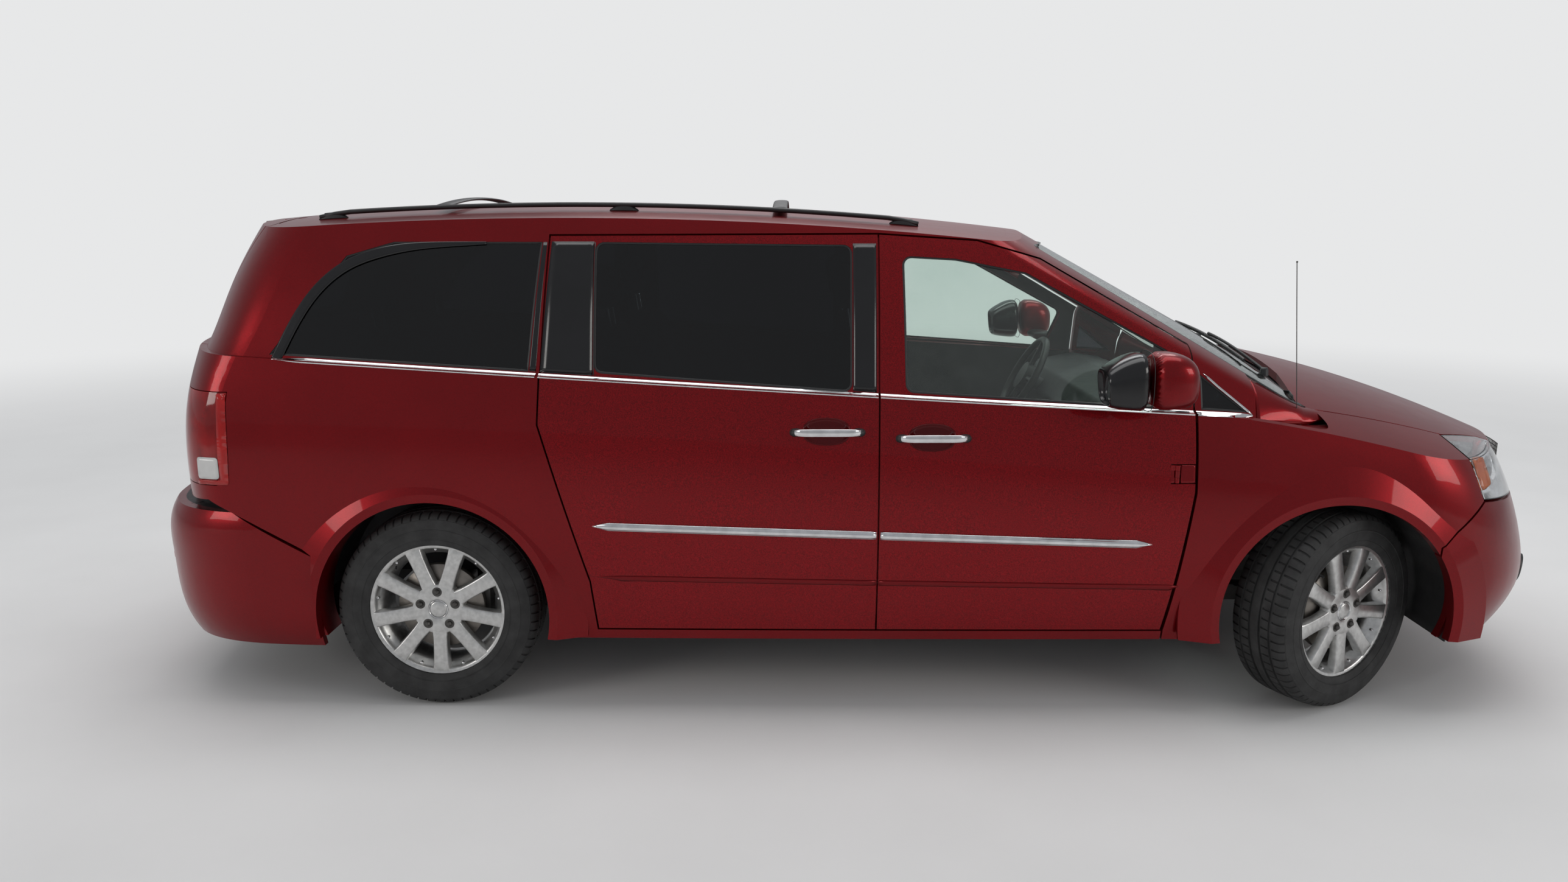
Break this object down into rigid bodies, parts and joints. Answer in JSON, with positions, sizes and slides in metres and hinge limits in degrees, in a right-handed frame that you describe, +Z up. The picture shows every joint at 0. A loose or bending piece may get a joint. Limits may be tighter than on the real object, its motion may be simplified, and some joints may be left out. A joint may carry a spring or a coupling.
{
  "type": "minivan",
  "caption": "Seven-seat family minivan with hinged front doors, sliding side doors, top-hinged tailgate, opening hood, steered front wheels and roof rails.",
  "frame": {"origin": "on the ground under the middle of the overall length, on the centre plane", "axes": "+X towards the front, +Y to the van's left, +Z up"},
  "size_m": [5.1548, 2.3524, 1.7562],
  "materials": {
    "paint": "metallic gloss",
    "body_steel": "satin",
    "chrome": "polished",
    "glass_light": "clear tint",
    "glass_dark": "dark tint",
    "lens_clear": "clear",
    "lens_red": "gloss",
    "lamp_housing": "bright",
    "black_plastic": "matte",
    "trim_plastic": "matte",
    "seat_cloth": "woven",
    "engine_metal": "cast",
    "dark_steel": "dull",
    "alloy": "silver lacquer",
    "tyre": "matte",
    "mirror": "mirror"
  },
  "bodies": {
    "body": {"side_frame_right": "paint", "side_frame_left": "paint", "floor_pan": "body_steel", "roof_panel": "paint", "fender_right": "paint", "fender_left": "paint", "front_bumper": "paint", "headlamp_lenses": "lens_clear", "headlamp_housings": "lamp_housing", "grille": "chrome", "sliding_door_right": "paint", "sliding_door_left": "paint", "slider_glass": "glass_dark", "fixed_glass": "glass_dark", "windscreen": "glass_light", "cowl": "black_plastic", "tail_lamps": "lens_red", "rear_bumper": "paint", "dashboard": "trim_plastic", "front_seats": "seat_cloth", "middle_seats": "seat_cloth", "rear_seat": "seat_cloth", "engine": "engine_metal", "radiator": "engine_metal", "front_suspension": "dark_steel", "rear_axle": "dark_steel", "exhaust": "dark_steel", "fuel_tank": "black_plastic", "roof_rack": "black_plastic", "slider_trim": "chrome"},
    "door_front_right": {"door_front_right": "paint", "door_glass_right": "glass_light", "mirror_right": "paint", "door_trim_right": "chrome", "mirror_glass_right": "mirror"},
    "door_front_left": {"door_front_left": "paint", "door_glass_left": "glass_light", "mirror_left": "paint", "door_trim_left": "chrome", "mirror_glass_left": "mirror"},
    "tailgate": {"tailgate": "paint", "tailgate_glass": "glass_dark"},
    "hood": {"hood": "paint"},
    "fuel_door": {"fuel_door": "paint"},
    "steering_wheel": {"steering_wheel": "trim_plastic"},
    "knuckle_right": {"knuckle_right": "dark_steel"},
    "knuckle_left": {"knuckle_left": "dark_steel"},
    "wheel_front_right": {"wheel_front_right": "alloy", "tyre_front_right": "tyre"},
    "wheel_front_left": {"wheel_front_left": "alloy", "tyre_front_left": "tyre"},
    "wheel_rear_right": {"wheel_rear_right": "alloy", "tyre_rear_right": "tyre"},
    "wheel_rear_left": {"wheel_rear_left": "alloy", "tyre_rear_left": "tyre"}
  },
  "joints": [
    {"name": "door_front_right_hinge", "type": "hinge", "parent": "body", "child": "door_front_right", "pos_m": [1.0565, -0.96206, 0.66], "axis": [0, 0, 1], "range_deg": [0, 60]},
    {"name": "door_front_left_hinge", "type": "hinge", "parent": "body", "child": "door_front_left", "pos_m": [1.0565, 0.96206, 0.66], "axis": [0, 0, -1], "range_deg": [0, 60]},
    {"name": "tailgate_hinge", "type": "hinge", "parent": "body", "child": "tailgate", "pos_m": [-2.031, 0, 1.671], "axis": [0, 1, 0], "range_deg": [0, 85]},
    {"name": "hood_hinge", "type": "hinge", "parent": "body", "child": "hood", "pos_m": [1.5175, 0, 1.05256], "axis": [0, -1, 0], "range_deg": [0, 45]},
    {"name": "fuel_door_hinge", "type": "hinge", "parent": "body", "child": "fuel_door", "pos_m": [-1.1385, 0.9625, 0.9], "axis": [0, 0, -1], "range_deg": [0, 85]},
    {"name": "knuckle_right_steer", "type": "hinge", "parent": "body", "child": "knuckle_right", "pos_m": [1.6245, -0.785, 0.35], "axis": [0, 0, 1], "range_deg": [-64.5, 5.5]},
    {"name": "knuckle_left_steer", "type": "hinge", "parent": "body", "child": "knuckle_left", "pos_m": [1.6245, 0.785, 0.35], "axis": [0, 0, 1], "range_deg": [-64.5, 5.5]},
    {"name": "steering_wheel_turn", "type": "hinge", "parent": "body", "child": "steering_wheel", "pos_m": [0.80165, 0.38, 0.9874], "axis": [-0.8789, 0, 0.4771], "range_deg": [-1032, 88]},
    {"name": "wheel_front_right_spin", "type": "hinge", "parent": "knuckle_right", "child": "wheel_front_right", "pos_m": [1.6442, -0.81981, 0.35], "axis": [-0.4924, 0.8704, 0], "continuous": true},
    {"name": "wheel_front_left_spin", "type": "hinge", "parent": "knuckle_left", "child": "wheel_front_left", "pos_m": [1.6048, 0.81981, 0.35], "axis": [-0.4924, 0.8704, 0], "continuous": true},
    {"name": "wheel_rear_right_spin", "type": "hinge", "parent": "body", "child": "wheel_rear_right", "pos_m": [-1.4535, -0.825, 0.35], "axis": [0, 1, 0], "continuous": true},
    {"name": "wheel_rear_left_spin", "type": "hinge", "parent": "body", "child": "wheel_rear_left", "pos_m": [-1.4535, 0.825, 0.35], "axis": [0, 1, 0], "continuous": true}
  ],
  "couplings": [
    {"joint": "knuckle_left_steer", "follows": "knuckle_right_steer", "ratio": 1},
    {"joint": "steering_wheel_turn", "follows": "knuckle_right_steer", "ratio": 16}
  ]
}
